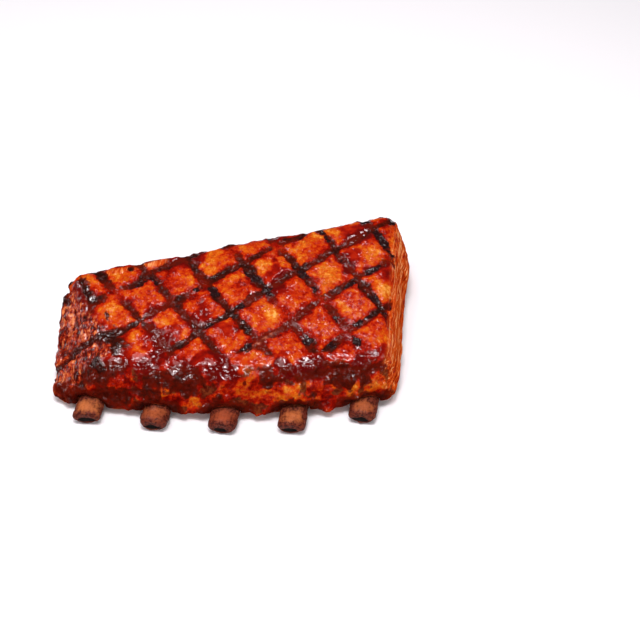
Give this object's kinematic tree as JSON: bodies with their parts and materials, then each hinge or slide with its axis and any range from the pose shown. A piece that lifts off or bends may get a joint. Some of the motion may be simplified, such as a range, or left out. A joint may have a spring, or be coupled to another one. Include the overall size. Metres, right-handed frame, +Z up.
{
  "type": "rack of ribs",
  "caption": "Short wedge-shaped rack of glazed, cross-hatch grilled pork ribs, with bare rib tips standing out along its thin front edge.",
  "frame": {"origin": "middle of the footprint, on the surface that the rack rests on", "axes": "+X along the rack, across the ribs, towards its deep end; +Y along the ribs, from the bare tips at the front to the thick back edge; +Z up, through the meat side"},
  "size_m": [0.1574, 0.1234, 0.0333],
  "materials": {
    "glazed_meat": "grilled pork under a sticky red-brown barbecue glaze, with dark grill marks",
    "bone": "cooked bone, browned and lightly glazed, darker at its sawn end"
  },
  "bodies": {
    "root": {"meat_slab": "glazed_meat", "rib_bone_1": "bone", "rib_bone_2": "bone", "rib_bone_3": "bone", "rib_bone_4": "bone", "rib_bone_5": "bone"}
  },
  "joints": []
}
